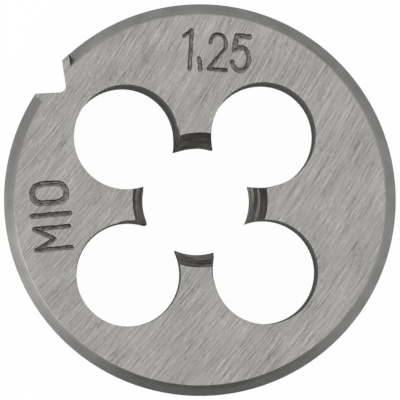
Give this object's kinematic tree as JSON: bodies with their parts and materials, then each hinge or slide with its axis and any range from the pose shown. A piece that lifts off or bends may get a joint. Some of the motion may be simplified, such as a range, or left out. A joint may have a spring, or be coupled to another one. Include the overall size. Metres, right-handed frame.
{
  "type": "round threading die",
  "caption": "Round steel die that cuts an outside screw thread on a rod, with chip holes round a threaded bore and a V notch in its rim.",
  "frame": {"origin": "on the rim's axis, at the middle of the back face that the die lies on", "axes": "+Z along the rim's axis, from the back face towards the lead face with the size numbers; +X and +Y in the back face's plane, with the rim notch at 141 degrees from +X towards +Y"},
  "size_m": [0.03, 0.03, 0.011],
  "materials": {
    "steel": "hardened tool steel, faces ground with fine straight lines, rim and chamfers turned, chip holes dark from heat treatment"
  },
  "bodies": {
    "root": {"die": "steel"}
  },
  "joints": []
}
